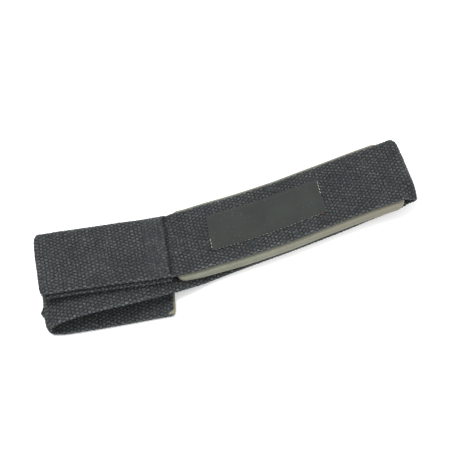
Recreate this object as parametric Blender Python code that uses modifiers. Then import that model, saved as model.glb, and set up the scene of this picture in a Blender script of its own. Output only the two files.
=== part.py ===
"""Padded weightlifting strap, folded flat as it is stored: one band of thick cotton webbing whose end is
turned back into a loop, a foam wrist pad under the long top run, and a bare woven label on it.

Metres, +Z up, X along the strap. x is counted from the left fold while the shape is worked out. The finished
strap is then centred on X and Y and lies on z = 0.
"""
import math

import bmesh
import bpy
from mathutils import Vector

# Driving sizes
FOLDED_LENGTH = 0.224      # over the folds at both ends
WEBBING_WIDTH = 0.040
WEBBING_THICKNESS = 0.0024
WEBBING_EDGE = 0.0007      # rounding of the selvages
LOOP_LENGTH = 0.0735       # from the left fold to the sewn end of the loop
LOOP_GAP = 0.0007          # between the two layers of the pressed loop
TAIL_END_LENGTH = 0.0725   # lowest layer, from the left fold to the cut end
PAD_GAP = 0.0032           # between the sewn end of the loop and the pad
PAD_LENGTH = 0.1373
PAD_WIDTH = 0.0445
PAD_THICKNESS = 0.0060
PAD_TAPER = 0.0260         # stretch over which the pad's left end reaches its full thickness
PAD_CORNER = 0.0055        # rounding of its ends in plan
PAD_EDGE = 0.0012
LABEL_START = 0.0980       # from the left fold
LABEL_LENGTH = 0.0700
LABEL_WIDTH = 0.0226
LABEL_THICKNESS = 0.0010
LABEL_EDGE = 0.0003

# How the folded strap rests
FOLD_PUFF = 0.0047         # most that the left tail fold springs open
END_CURL = 0.0060          # lift of the folded right end
CURL_LENGTH = 0.0620
LOOP_TILT = 0.0042         # near edge of the loop above its far edge
END_TILT = 0.0030          # far edge of the right fold above its near edge
LOOP_END_LEAN = 0.11       # slants of the sewn end, the pad's right end, the cut end and the label's ends
PAD_END_LEAN = -0.16
TAIL_END_LEAN = 0.15
LABEL_LEAN = 0.07
CLEARANCE = 0.0003         # between faces that touch

# Spacing of the cross lines that shape the pieces
WEBBING_PITCH = 0.0055
PAD_PITCH = 0.0068
LABEL_PITCH = 0.0070
FOLD_STEPS = 8
LANES = 4

# Middle lines in plan: share of the folded length, then how far aside the top run and the tail run lie,
# in webbing widths
PLAN = (
    (0.00, -0.035, -0.450),
    (0.07, -0.072, -0.410),
    (0.14, -0.112, -0.405),
    (0.21, -0.148, -0.402),
    (0.27, -0.170, -0.378),
    (0.36, -0.158, -0.318),
    (0.49, -0.116, -0.195),
    (0.63, -0.038, -0.095),
    (0.76, 0.072, 0.010),
    (0.89, 0.152, 0.116),
    (1.00, 0.178, 0.178),
)

# The lowest layer in plan: share of its length, how far aside in webbing widths
TAIL_END_PLAN = (
    (0.00, -0.475),
    (0.06, -0.500),
    (0.15, -0.528),
    (1.00, -0.632),
)

# The tail run over the lowest layer: share of that layer's length, layers below, share of the puff
TAIL_REST = (
    (0.00, 1.00, 0.38),
    (0.40, 1.00, 1.00),
    (0.68, 1.00, 0.96),
    (0.90, 1.00, 0.55),
    (1.04, 1.00, 0.18),
    (1.25, 0.35, 0.00),
    (1.55, 0.00, 0.00),
)

# The loop over the tail run: share of the loop's length, air below it as a share of the puff, share of the tilt
LOOP_REST = (
    (0.00, 0.45, 1.00),
    (0.40, 0.00, 1.00),
    (0.80, 0.00, 0.60),
    (1.10, 0.00, 0.25),
    (1.50, 0.00, 0.00),
)


def row_slope(rows, index, column):
    """Slope of a column at a row: nil at a turning point, so that the curve never overshoots."""
    def step(first):
        low, high = rows[first], rows[first + 1]
        return (high[column] - low[column]) / (high[0] - low[0])

    if index == 0:
        return step(0)
    if index == len(rows) - 1:
        return step(index - 1)
    before, after = step(index - 1), step(index)
    if before * after <= 0:
        return 0.0
    return 2 * before * after / (before + after)


def read_table(rows, place, column):
    """Value of a column at a place, on a smooth curve through the rows."""
    if place <= rows[0][0]:
        return rows[0][column]
    if place >= rows[-1][0]:
        return rows[-1][column]
    index = max(number for number, row in enumerate(rows) if row[0] <= place)
    low, high = rows[index], rows[index + 1]
    reach = high[0] - low[0]
    share = (place - low[0]) / reach
    start = row_slope(rows, index, column) * reach
    end = row_slope(rows, index + 1, column) * reach
    rise = high[column] - low[column]
    return (low[column] + share * start + share ** 2 * (3 * rise - 2 * start - end)
            + share ** 3 * (start + end - 2 * rise))


def smooth_step(share):
    share = min(max(share, 0.0), 1.0)
    return share * share * (3 - 2 * share)


def end_curl(x):
    """Share of the right end's lift."""
    reach = (x - FOLDED_LENGTH + CURL_LENGTH) / CURL_LENGTH
    return min(max(reach, 0.0), 1.0) ** 2


def tilt(x):
    """Height of the near edge over the far edge."""
    return LOOP_TILT * read_table(LOOP_REST, x / LOOP_LENGTH, 2) - END_TILT * end_curl(x)


def tail_height(x):
    """Height of the tail run's middle face."""
    place = x / TAIL_END_LENGTH
    layers = read_table(TAIL_REST, place, 1) * (WEBBING_THICKNESS + CLEARANCE)
    puff = read_table(TAIL_REST, place, 2) * FOLD_PUFF
    return WEBBING_THICKNESS / 2 + layers + puff + END_CURL * end_curl(x)


def loop_height(x):
    """Height of the middle face of the loop's lower layer, which lies on the tail run."""
    air = read_table(LOOP_REST, x / LOOP_LENGTH, 1) * FOLD_PUFF
    return tail_height(x) + WEBBING_THICKNESS + CLEARANCE + air


def spacer(x):
    """Distance that the loop's layer, and then the pad, hold the top run up, its clearance included."""
    loop = WEBBING_THICKNESS + LOOP_GAP
    pad = PAD_THICKNESS + CLEARANCE
    rise = (x - LOOP_LENGTH) / (PAD_GAP + PAD_TAPER)
    return loop + (pad - loop) * smooth_step(rise)


def top_height(x):
    """Height of the top run's middle face."""
    return loop_height(x) + spacer(x)


def top_aside(x):
    return read_table(PLAN, x / FOLDED_LENGTH, 1) * WEBBING_WIDTH


def tail_aside(x):
    return read_table(PLAN, x / FOLDED_LENGTH, 2) * WEBBING_WIDTH


def tail_end_aside(x):
    return read_table(TAIL_END_PLAN, x / TAIL_END_LENGTH, 1) * WEBBING_WIDTH


def top_point(x, across):
    """Point of the top run's middle face, across being metres from its middle line."""
    return Vector((x, top_aside(x) + across, top_height(x) - tilt(x) * across / WEBBING_WIDTH))


def loop_point(x, across):
    return Vector((x, top_aside(x) + across, loop_height(x) - tilt(x) * across / WEBBING_WIDTH))


def tail_point(x, across):
    return Vector((x, tail_aside(x) + across, tail_height(x) - tilt(x) * across / WEBBING_WIDTH))


def tail_end_point(x, across):
    return Vector((x, tail_end_aside(x) + across, WEBBING_THICKNESS / 2))


def steps_for(length, pitch):
    return max(2, round(length / pitch))


def run_lines(point, start, end, lanes, pitch, lean=0.0):
    """Cross lines of one run from start to end, where lean slants the last of them."""
    steps = steps_for(abs(end - start), pitch)
    lines = []
    for step in range(steps + 1):
        share = step / steps
        lines.append([point(start + (end - start) * share + lean * share * across, across) for across in lanes])
    return lines


def fold_lines(before, after, outwards):
    """Cross lines of a half turn between the last line of one run and the first line of the next."""
    lines = []
    for step in range(1, FOLD_STEPS):
        angle = math.pi * step / FOLD_STEPS
        line = []
        for first, last in zip(before, after):
            half = (first - last) / 2
            bulge = Vector((outwards * half.length, 0, 0))
            line.append((first + last) / 2 + half * math.cos(angle) + bulge * math.sin(angle))
        lines.append(line)
    return lines


def webbing_lines():
    """Cross lines along the whole band: sewn end, loop, top run, right fold, tail run, left fold, cut end."""
    lanes = [WEBBING_WIDTH * (lane / LANES - 0.5) for lane in range(LANES + 1)]
    half = WEBBING_THICKNESS / 2
    loop_left = half + (top_height(0) - loop_height(0)) / 2
    right = FOLDED_LENGTH - half - (top_height(FOLDED_LENGTH) - tail_height(FOLDED_LENGTH)) / 2
    tail_left = half + (tail_height(0) - half) / 2

    loop = run_lines(loop_point, loop_left, LOOP_LENGTH, lanes, WEBBING_PITCH, LOOP_END_LEAN)[::-1]
    top = run_lines(top_point, loop_left, right, lanes, WEBBING_PITCH)
    tail = run_lines(tail_point, right, tail_left, lanes, WEBBING_PITCH)
    tail_end = run_lines(tail_end_point, tail_left, TAIL_END_LENGTH, lanes, WEBBING_PITCH, TAIL_END_LEAN)
    return (loop + fold_lines(loop[-1], top[0], -1) + top + fold_lines(top[-1], tail[0], 1)
            + tail + fold_lines(tail[-1], tail_end[0], -1) + tail_end)


def sheet_object(name, lines, material, collection):
    """Open surface through cross lines, laid out from a flat grid."""
    columns, rows = len(lines) - 1, len(lines[0]) - 1
    shape = bmesh.new()
    bmesh.ops.create_grid(shape, x_segments=columns, y_segments=rows, size=0.5)
    for vertex in shape.verts:
        column = round((vertex.co.x + 0.5) * columns)
        row = round((vertex.co.y + 0.5) * rows)
        vertex.co = lines[column][row]
    mesh = bpy.data.meshes.new(name)
    shape.to_mesh(mesh)
    shape.free()
    mesh.materials.append(material)
    piece = bpy.data.objects.new(name, mesh)
    collection.objects.link(piece)
    return piece


def thicken(piece, thickness, offset):
    wall = piece.modifiers.new("thickness", "SOLIDIFY")
    wall.thickness = thickness
    wall.offset = offset
    wall.use_even_offset = True
    return wall


def round_edges(piece, width, segments):
    edge = piece.modifiers.new("rounding", "BEVEL")
    edge.width = width
    edge.segments = segments
    edge.limit_method = "ANGLE"
    edge.angle_limit = math.radians(55)
    piece.data.shade_smooth()
    piece.data.set_sharp_from_angle(angle=math.radians(40))


def make_material(name, colour, roughness):
    material = bpy.data.materials.new(name)
    material.use_nodes = True
    shader = material.node_tree.nodes["Principled BSDF"]
    shader.inputs["Base Color"].default_value = (*colour, 1.0)
    shader.inputs["Roughness"].default_value = roughness
    shader.inputs["Metallic"].default_value = 0.0
    material.diffuse_color = (*colour, 1.0)
    return material


def make_webbing(collection):
    material = make_material("charcoal_cotton_webbing", (0.055, 0.060, 0.062), 0.92)
    webbing = sheet_object("webbing", webbing_lines(), material, collection)
    thicken(webbing, WEBBING_THICKNESS, 0.0)
    round_edges(webbing, WEBBING_EDGE, 2)
    return webbing


def pad_half_width(distance):
    """Half of the pad's width at a distance from the nearer of its ends, whose corners are round."""
    short = PAD_CORNER - min(distance, PAD_CORNER)
    return PAD_WIDTH / 2 - PAD_CORNER + math.sqrt(PAD_CORNER ** 2 - short ** 2)


def pad_places():
    """Distances of the pad's cross lines from its left end, close together at the round corners."""
    corner = [PAD_CORNER * (1 - math.cos(math.radians(angle))) for angle in (0, 25, 50, 75)]
    straight = PAD_LENGTH - 2 * PAD_CORNER
    steps = steps_for(straight, PAD_PITCH)
    middle = [PAD_CORNER + straight * step / steps for step in range(steps + 1)]
    return corner + middle + [PAD_LENGTH - place for place in reversed(corner)]


def make_wrist_pad(collection):
    """Foam pad hung under the top run: its upper face follows the run, its lower face the tail run below."""
    material = make_material("grey_pad_foam", (0.225, 0.218, 0.175), 0.85)
    under_top = Vector((0, 0, WEBBING_THICKNESS / 2 + CLEARANCE))
    lines = []
    for place in pad_places():
        half_width = pad_half_width(min(place, PAD_LENGTH - place))
        lean = LOOP_END_LEAN + (PAD_END_LEAN - LOOP_END_LEAN) * place / PAD_LENGTH
        line = []
        for lane in range(LANES + 1):
            across = half_width * (2 * lane / LANES - 1)
            line.append(top_point(LOOP_LENGTH + PAD_GAP + place + lean * across, across) - under_top)
        lines.append(line)
    pad = sheet_object("wrist_pad", lines, material, collection)
    depth = pad.vertex_groups.new(name="depth")
    for vertex in pad.data.vertices:
        share = (spacer(vertex.co.x) - CLEARANCE) / PAD_THICKNESS
        depth.add([vertex.index], min(share, 1.0), "REPLACE")
    wall = thicken(pad, PAD_THICKNESS, -1.0)
    wall.vertex_group = depth.name
    round_edges(pad, PAD_EDGE, 3)
    return pad


def make_label(collection):
    """Bare woven label that lies on the top run."""
    material = make_material("smooth_label_cloth", (0.075, 0.080, 0.074), 0.6)
    lift = Vector((0, 0, (WEBBING_THICKNESS + LABEL_THICKNESS) / 2 + CLEARANCE))
    steps = steps_for(LABEL_LENGTH, LABEL_PITCH)
    lines = []
    for step in range(steps + 1):
        line = []
        for lane in range(LANES + 1):
            across = LABEL_WIDTH * (lane / LANES - 0.5)
            x = LABEL_START + LABEL_LENGTH * step / steps + LABEL_LEAN * across
            line.append(top_point(x, across) + lift)
        lines.append(line)
    label = sheet_object("label", lines, material, collection)
    thicken(label, LABEL_THICKNESS, 0.0)
    round_edges(label, LABEL_EDGE, 1)
    return label


def centre_on_floor(pieces, collection):
    """Hangs the pieces on an empty placed so that they are centred on the origin, with their lowest point on z = 0."""
    bpy.context.view_layer.update()
    graph = bpy.context.evaluated_depsgraph_get()
    points = [vertex.co for piece in pieces for vertex in piece.evaluated_get(graph).data.vertices]
    low = [min(point[axis] for point in points) for axis in range(3)]
    high = [max(point[axis] for point in points) for axis in range(3)]
    frame = bpy.data.objects.new("strap_frame", None)
    frame.location = (-(low[0] + high[0]) / 2, -(low[1] + high[1]) / 2, -low[2])
    collection.objects.link(frame)
    for piece in pieces:
        piece.parent = frame


def main():
    for thing in list(bpy.data.objects):
        bpy.data.objects.remove(thing)
    collection = bpy.data.collections.new("weightlifting_strap")
    bpy.context.scene.collection.children.link(collection)
    pieces = [make_webbing(collection), make_wrist_pad(collection), make_label(collection)]
    centre_on_floor(pieces, collection)


main()
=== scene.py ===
"""Padded weightlifting strap, folded flat: cotton webbing with its weave, a foam pad, a bare woven label,
sewing thread and loose fibres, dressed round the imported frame.

Metres throughout, +Z up, X along the strap. Places in the route count from the left fold, as the strap is
laid out, and are then moved onto the frame's webbing.
"""

import math

import bmesh
import bpy
import numpy as np
from bpy.props import FloatProperty, FloatVectorProperty, IntProperty, PointerProperty
from mathutils import Matrix, Vector


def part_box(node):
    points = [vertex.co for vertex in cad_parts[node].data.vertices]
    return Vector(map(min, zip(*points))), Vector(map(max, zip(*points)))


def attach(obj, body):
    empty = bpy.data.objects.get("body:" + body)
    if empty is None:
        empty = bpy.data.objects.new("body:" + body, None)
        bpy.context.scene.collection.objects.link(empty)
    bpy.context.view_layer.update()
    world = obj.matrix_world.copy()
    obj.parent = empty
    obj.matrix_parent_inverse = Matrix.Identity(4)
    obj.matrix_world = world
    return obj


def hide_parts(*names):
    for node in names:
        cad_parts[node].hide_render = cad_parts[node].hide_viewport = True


bl_info = {
    "name": "Weightlifting strap",
    "version": (1, 0, 0),
    "blender": (4, 5, 0),
    "location": "View3D > Sidebar > Strap",
    "description": "Dresses a folded weightlifting strap in woven webbing, foam, label and thread",
    "category": "Object",
}

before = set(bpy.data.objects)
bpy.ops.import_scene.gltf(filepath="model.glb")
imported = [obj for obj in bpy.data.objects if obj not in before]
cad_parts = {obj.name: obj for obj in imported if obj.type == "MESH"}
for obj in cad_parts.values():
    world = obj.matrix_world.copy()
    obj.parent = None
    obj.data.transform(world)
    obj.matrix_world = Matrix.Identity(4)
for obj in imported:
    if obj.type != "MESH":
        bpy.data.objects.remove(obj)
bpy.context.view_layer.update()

# Middle lines in plan: share of the folded length, then how far aside the top run and the tail run lie,
# in webbing widths
PLAN = (
    (0.00, -0.035, -0.450),
    (0.07, -0.072, -0.410),
    (0.14, -0.112, -0.405),
    (0.21, -0.148, -0.402),
    (0.27, -0.170, -0.378),
    (0.36, -0.158, -0.318),
    (0.49, -0.116, -0.195),
    (0.63, -0.038, -0.095),
    (0.76, 0.072, 0.010),
    (0.89, 0.152, 0.116),
    (1.00, 0.178, 0.178),
)

# The lowest layer in plan: share of its length, how far aside in webbing widths
TAIL_END_PLAN = (
    (0.00, -0.475),
    (0.06, -0.500),
    (0.15, -0.528),
    (1.00, -0.632),
)

# The tail run over the lowest layer: share of that layer's length, layers below, share of the puff
TAIL_REST = (
    (0.00, 1.00, 0.38),
    (0.40, 1.00, 1.00),
    (0.68, 1.00, 0.96),
    (0.90, 1.00, 0.55),
    (1.04, 1.00, 0.18),
    (1.25, 0.35, 0.00),
    (1.55, 0.00, 0.00),
)

# The loop over the tail run: share of the loop's length, air below it as a share of the puff, share of
# the tilt
LOOP_REST = (
    (0.00, 0.45, 1.00),
    (0.40, 0.00, 1.00),
    (0.80, 0.00, 0.60),
    (1.10, 0.00, 0.25),
    (1.50, 0.00, 0.00),
)

# Fineness of the band that the pieces are laid on
LANES = 8
ROUTE_PITCH = 0.0005
FOLD_STEPS = 32

# Steps across a face and round an edge of each piece's own mesh, rows along the label, and the pad's rows
# by their spacing in metres and, round its corners, in degrees
WEBBING_STEPS = (70, 4)
PAD_STEPS = (60, 10)
LABEL_STEPS = (48, 4)
LABEL_ROWS = 140
PAD_PITCH = 0.0008
PAD_CORNER_DEGREES = 6

# Squareness of the pieces' edges, where 2 is round
ROUND = 2.0
PAD_ROUND = 2.4

# The weave: rows of the mesh for each pick, and yarns over a face, round a selvage and in one float
ROWS_PER_PICK = 4
FACE_YARNS = WEBBING_STEPS[0] / 2
SELVAGE_YARNS = 3
FLOAT_YARNS = 2

# A float along its pick and then across it: how square it is, and how high its ends still stand
FLOAT_SQUARENESS = (3.0, 2.2)
FLOAT_END_HEIGHT = (0.30, 0.06)

# Fine fibres in a float, and how far their pattern moves on from one float to the next
FIBRES_PER_PICK = 2.4
FIBRE_SHIFT = 5.0

# How far noise bends the flecks of lint, in metres along X and Y
FLECK_DRIFT = (0.0009, -0.0006)

# Slow unevenness of the cloth: span of a wave along the band in metres, and waves round the band
WAVY_PICKS = (0.009, 12)
WAVY_YARNS = (0.006, 16)
WAVY_FACE = (0.011, 10)

# How closely the folds' drawn-in corners keep to the band's edge, how far they reach past the fold as a
# share of its half, and the same closeness for the corners of the cut end
FOLD_CORNER_SHARPNESS = 9
FOLD_CORNER_REACH = 1.6
CUT_CORNER_SHARPNESS = 14

# How the sewing flattens the weave: its share, how far it takes to set in, which is doubled where it fades
# out, and how far past the last row it goes
SEWN_FLATNESS = 0.55
SEWN_FADE = 0.001
SEWN_PAST = 0.004

# Thickness left at the ends of the band and of the label, and a height that counts as none
END_FULLNESS = 0.55
LABEL_END_FULLNESS = 0.7
MIDDLE_HEIGHT = 1e-9

# Yarns of the label along it and across it, in metres
LABEL_YARN = (0.00035, 0.00030)

# Stitches: share of the thread's pitch that shows, sides, thinning and dip of the ends, how deep they sit,
# and how they stray along the webbing and turn
STITCH_FILL = 0.92
STITCH_SIDES = 8
STITCH_THINNING = 0.35
STITCH_DIP = 1.6
STITCH_SINK = 0.00005
STITCH_DRIFT = 0.0001
STITCH_TURN = 0.05
LABEL_STITCH_TURN = 0.04
EDGE_STITCH_TURN = 0.06

# Width of the webbing that the seam's rows leave free, its two sides together
SEAM_INSET = 0.003

# The label's pale stitches: how much of the thread's thickness and length shows at the near edge, and
# where they take over on the left end and the right end, in label widths from the middle
PALE_THICKNESS = (0.15, 0.55)
PALE_LENGTH = (0.4, 0.95)
PALE_LEFT = -0.15
PALE_RIGHT = 0.05

# The red thread end: from the label's right end, its turn, and its length and thickness by a stitch's
RED_END_INSET = 0.0022
RED_END_TURN = 0.9
RED_END_SHAPE = (0.5, 1.3, 1.0, 1.0)

# Loose fibres: the runs that show them, the side they lie on and their share of the whole number
FIBRE_RUNS = (
    ("top", 1, 0.45),
    ("tail", -1, 0.2),
    ("tail_end", 1, 0.15),
    ("loop_fold", 1, 0.06),
    ("right_fold", 1, 0.09),
    ("tail_fold", -1, 0.05),
)

# Bends aside and upwards of the fibres by their length, their lengths in metres, how deep they sit, the
# least height of one over the table by its length, and the share of them at the selvages
FIBRE_BENDS = (-0.9, -0.35, 0.3, 0.8)
FIBRE_LIFTS = (0.1, 0.5)
FIBRE_LENGTHS = (0.0009, 0.0026)
FIBRE_SINK = 0.0001
FIBRE_HEIGHT = 0.6
SELVAGE_FIBRES = 0.25


def length(name, about, default):
    """A size in metres for the sidebar."""
    return FloatProperty(name=name, description=about, default=default, unit="LENGTH", precision=5)


def ratio(name, about, default):
    """A plain number for the sidebar."""
    return FloatProperty(name=name, description=about, default=default)


def tally(name, about, default, least=0):
    """A whole number for the sidebar."""
    return IntProperty(name=name, description=about, default=default, min=least)


def colour(name, about, default):
    """A linear colour for the sidebar."""
    return FloatVectorProperty(
        name=name, description=about, default=default, size=3, subtype="COLOR", min=0.0, max=1.0)


def site(name, about, default):
    """A point for the sidebar."""
    return FloatVectorProperty(
        name=name, description=about, default=default, subtype="TRANSLATION", unit="LENGTH", precision=5)


class StrapSizes(bpy.types.PropertyGroup):
    """Sizes of the strap's pieces."""
    folded_length: length("Folded length", "Length over the folds at both ends", 0.224)
    webbing_width: length("Webbing width", "Width between the selvages", 0.040)
    webbing_thickness: length("Webbing thickness", "Thickness over the crowns of the yarns", 0.0024)
    loop_length: length("Loop length", "From the left fold to the sewn end of the loop", 0.0735)
    loop_gap: length("Loop gap", "Air between the two layers of the pressed loop", 0.0007)
    tail_end_length: length("Tail end length", "Lowest layer, from the left fold to the cut end", 0.0725)
    pad_gap: length("Pad gap", "Between the sewn end of the loop and the pad", 0.0032)
    pad_length: length("Pad length", "Length of the wrist pad", 0.1373)
    pad_width: length("Pad width", "Width of the wrist pad", 0.0452)
    pad_thickness: length("Pad thickness", "Thickness of the wrist pad", 0.0060)
    pad_taper: length("Pad taper", "Stretch over which the pad reaches its full thickness", 0.0260)
    pad_corner: length("Pad corner", "Rounding of the pad's ends in plan", 0.0055)
    pad_edge: length("Pad edge", "Rounding of the pad's sides", 0.0022)
    label_start: length("Label start", "From the left fold to the label", 0.0980)
    label_length: length("Label length", "Length of the label", 0.0700)
    label_width: length("Label width", "Width of the label", 0.0226)
    label_thickness: length("Label thickness", "Thickness of the label cloth", 0.0007)
    label_lift: length("Label lift", "Height of the label's underside over the webbing's crowns", -0.00010)
    label_press: length("Label press", "How far the sewing draws the label's edges down", 0.00032)
    label_hem: length("Label hem", "Width of the label's edge that the sewing draws down", 0.0012)
    joint: length("Joint", "From the left fold to where the band's two meshes meet", 0.196)
    clearance: length("Clearance", "Between faces that touch", 0.0003)


class StrapRest(bpy.types.PropertyGroup):
    """How the folded strap rests."""
    fold_puff: length("Fold puff", "Most that the left tail fold springs open", 0.0047)
    end_curl: length("End curl", "Lift of the folded right end", 0.0060)
    curl_length: length("Curl length", "Stretch over which the right end lifts", 0.0620)
    loop_tilt: length("Loop tilt", "Near edge of the loop above its far edge", 0.0042)
    end_tilt: length("End tilt", "Far edge of the right fold above its near edge", 0.0030)
    loop_end_lean: ratio("Loop end lean", "Slant of the loop's sewn end", 0.11)
    pad_end_lean: ratio("Pad end lean", "Slant of the pad's right end", -0.05)
    tail_end_lean: ratio("Tail end lean", "Slant of the cut end", 0.15)
    label_lean: ratio("Label lean", "Slant of the label's ends", 0.07)
    loop_lip: length("Loop lip", "How far the loop's lower layer stands out on the near side", 0.0012)
    seam_dent: length("Seam dent", "Sag of the top run between the loop's end and the pad", 0.0011)
    fold_corner: length("Fold corner", "How far the corners of each fold draw in", 0.0016)
    tail_fold_slant: length("Tail fold slant", "How far the tail fold's near end draws in", 0.0005)
    bulge_aside: length("Bulge aside", "From the tail fold's middle to its small bulge", -0.0083)
    bulge_width: length("Bulge width", "Half of the bulge's width", 0.0022)
    bulge_height: length("Bulge height", "How far the bulge stands out", 0.0017)
    pinch_start: length("Pinch start", "From the left fold to where the right fold's near side sinks", 0.2125)
    pinch_reach: length("Pinch reach", "Stretch over which it sinks", 0.0070)
    pinch_aside: length("Pinch aside", "From the band's middle to where it starts to sink", 0.0090)
    pinch_width: length("Pinch width", "Width over which it sinks", 0.0110)
    pinch_height: length("Pinch height", "Height over the tail run that the sunk layers draw to", 0.0024)
    pinch_share: ratio("Pinch share", "How closely the sunk layers draw together", 0.72)
    cut_corner: length("Cut corner", "How far the corners of the cut end draw back", 0.0018)
    cut_corner_reach: length("Cut corner reach", "Stretch of the band that they draw with them", 0.0060)


class StrapWeave(bpy.types.PropertyGroup):
    """The webbing's yarns, the sewing and the loose fibres."""
    pick: length("Pick", "Spacing of the weft along the webbing", 0.00206)
    relief: length("Relief", "Depth of the gaps between the crowns of the yarns", 0.00050)
    uneven_relief: ratio("Uneven relief", "How much that depth varies, as a share of it", 0.4)
    serration: length("Serration", "How far the weft's turns stand out at the selvage", 0.00036)
    waviness: length("Waviness", "How far the rows of picks stray", 0.00035)
    float_stray: ratio("Float stray", "How far single floats stray along, as a share of a pick", 0.17)
    yarn_waviness: length("Yarn waviness", "How far the warp strays aside", 0.00014)
    yarn_stray: length("Yarn stray", "How far single floats stray aside", 0.00026)
    sag: length("Sag", "How far the webbing's faces sink in places", 0.00014)
    sunk_crown: length("Sunk crown", "How far single crowns sink", 0.00010)
    fuzz: length("Fuzz", "Fine unevenness of the yarns", 0.00002)
    end_rounding: length("End rounding", "Rounding of the band's ends", 0.0009)
    seam_rows: tally("Seam rows", "Rows of sewing that close the loop", 4, least=1)
    seam_pitch: length("Seam pitch", "Between two rows of that sewing", 0.0029)
    seam_length: length("Seam length", "From its first row to the loop's sewn end", 0.0126)
    seam_groove: length("Seam groove", "How deep each row draws the webbing in", 0.00035)
    groove_width: length("Groove width", "Half of the width of such a groove", 0.0007)
    stitch_length: length("Stitch length", "Length of one stitch", 0.0024)
    thread_radius: length("Thread radius", "Half of the sewing thread's thickness", 0.00022)
    label_stitch: length("Label stitch", "Length of one of the label's stitches", 0.0020)
    label_pitch: length("Label pitch", "Between two of the label's stitches", 0.0022)
    label_thread: length("Label thread", "Half of the thickness of the label's thread", 0.00016)
    hem_inset: length("Hem inset", "From the label's edge to its dark stitches", 0.0013)
    edge_inset: length("Edge inset", "From the label's edge to its pale stitches", 0.0002)
    fibre_count: tally("Loose fibres", "Number of fibres on the webbing", 1500)
    fibre_radius: length("Fibre radius", "Half of a loose fibre's thickness", 0.000028)
    seed: tally("Seed", "Start of every random draw", 7)


class StrapColours(bpy.types.PropertyGroup):
    """Colours of the strap's materials."""
    # Colour of the weave's gaps: painted shade between the crowns of the yarns
    yarn_dark: colour("Yarn, gaps", "Webbing between the crowns", (0.0028, 0.0032, 0.0036))
    yarn_light: colour("Yarn, crowns", "Webbing on the crowns", (0.0405, 0.0445, 0.0455))
    lint: colour("Lint", "Loose fibres and dust", (0.19, 0.20, 0.195))
    cut_end: colour("Cut end", "Sealed ends of the yarns", (0.20, 0.19, 0.135))
    pad: colour("Pad", "Foam of the wrist pad", (0.192, 0.196, 0.152))
    pad_worn: colour("Pad, worn", "Foam towards the right fold", (0.170, 0.162, 0.126))
    label: colour("Label", "Label cloth", (0.028, 0.032, 0.0295))
    red_thread: colour("Red thread", "The loose thread end at the label's corner", (0.42, 0.02, 0.03))
    thread: colour("Thread", "Dark sewing thread", (0.050, 0.053, 0.055))
    pale_thread: colour("Pale thread", "Cream sewing thread", (0.55, 0.52, 0.43))
    floor: colour("Floor", "Table under the strap", (0.90, 0.90, 0.90))


class StrapStage(bpy.types.PropertyGroup):
    """Camera, floor and lights."""
    elevation: FloatProperty(
        name="Elevation", description="Camera above the table", default=math.radians(62), unit="ROTATION")
    azimuth: FloatProperty(
        name="Azimuth", description="Camera round the strap", default=math.radians(-14.5), unit="ROTATION")
    distance: length("Distance", "From the camera to the strap", 0.4092)
    target: site("Target", "Point that the camera looks at", (-0.0018, 0.0079, 0.006))
    lens: ratio("Lens", "Focal length in millimetres", 55.99)
    sensor_width: ratio("Sensor width", "Width of the camera's sensor in millimetres", 36.0)
    near_limit: length("Near limit", "Nearest distance that the camera shows", 0.01)
    floor_size: length("Floor size", "Side of the floor", 4.0)
    sky: ratio("Sky", "Strength of the even light from all round", 0.85)
    light_size: length("Light size", "Diameter of each light", 0.5)
    key_power: ratio("Key light", "Power of the large light, in watts", 8.5)
    key_place: site("Key place", "Where the key light hangs", (-0.35, 0.35, 0.75))
    fill_power: ratio("Fill light", "Power of the side light, in watts", 5.0)
    fill_place: site("Fill place", "Where the fill light hangs", (0.6, -0.35, 0.55))


def sizes():
    return bpy.context.scene.strap_sizes


def rest():
    return bpy.context.scene.strap_rest


def weave():
    return bpy.context.scene.strap_weave


def colours():
    return bpy.context.scene.strap_colours


# Route of the band

def row_slope(rows, index, column):
    """Slope of a column at a row: nil at a turning point, so that the curve never overshoots."""
    def step(first):
        low, high = rows[first], rows[first + 1]
        return (high[column] - low[column]) / (high[0] - low[0])

    if index == 0:
        return step(0)
    if index == len(rows) - 1:
        return step(index - 1)
    before, after = step(index - 1), step(index)
    if before * after <= 0:
        return 0.0
    return 2 * before * after / (before + after)


def read_table(rows, place, column):
    """Value of a column at a place, on a smooth curve through the rows."""
    if place <= rows[0][0]:
        return rows[0][column]
    if place >= rows[-1][0]:
        return rows[-1][column]
    index = max(number for number, row in enumerate(rows) if row[0] <= place)
    low, high = rows[index], rows[index + 1]
    reach = high[0] - low[0]
    share = (place - low[0]) / reach
    start = row_slope(rows, index, column) * reach
    end = row_slope(rows, index + 1, column) * reach
    rise = high[column] - low[column]
    return (low[column] + share * start + share ** 2 * (3 * rise - 2 * start - end)
            + share ** 3 * (start + end - 2 * rise))


def smooth_step(share):
    """Share from 0 to 1 with soft ends, for a number or an array."""
    share = np.clip(share, 0.0, 1.0)
    return share * share * (3 - 2 * share)


def end_curl(x):
    """Share of the right end's lift."""
    reach = (x - sizes().folded_length + rest().curl_length) / rest().curl_length
    return min(max(reach, 0.0), 1.0) ** 2


def tilt(x):
    """Height of the near edge over the far edge."""
    return (rest().loop_tilt * read_table(LOOP_REST, x / sizes().loop_length, 2)
            - rest().end_tilt * end_curl(x))


def tail_height(x):
    """Height of the tail run's middle face."""
    place = x / sizes().tail_end_length
    layers = read_table(TAIL_REST, place, 1) * (sizes().webbing_thickness + sizes().clearance)
    puff = read_table(TAIL_REST, place, 2) * rest().fold_puff
    return sizes().webbing_thickness / 2 + layers + puff + rest().end_curl * end_curl(x)


def loop_height(x):
    """Height of the middle face of the loop's lower layer, which lies on the tail run."""
    air = read_table(LOOP_REST, x / sizes().loop_length, 1) * rest().fold_puff
    return tail_height(x) + sizes().webbing_thickness + sizes().clearance + air


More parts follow.
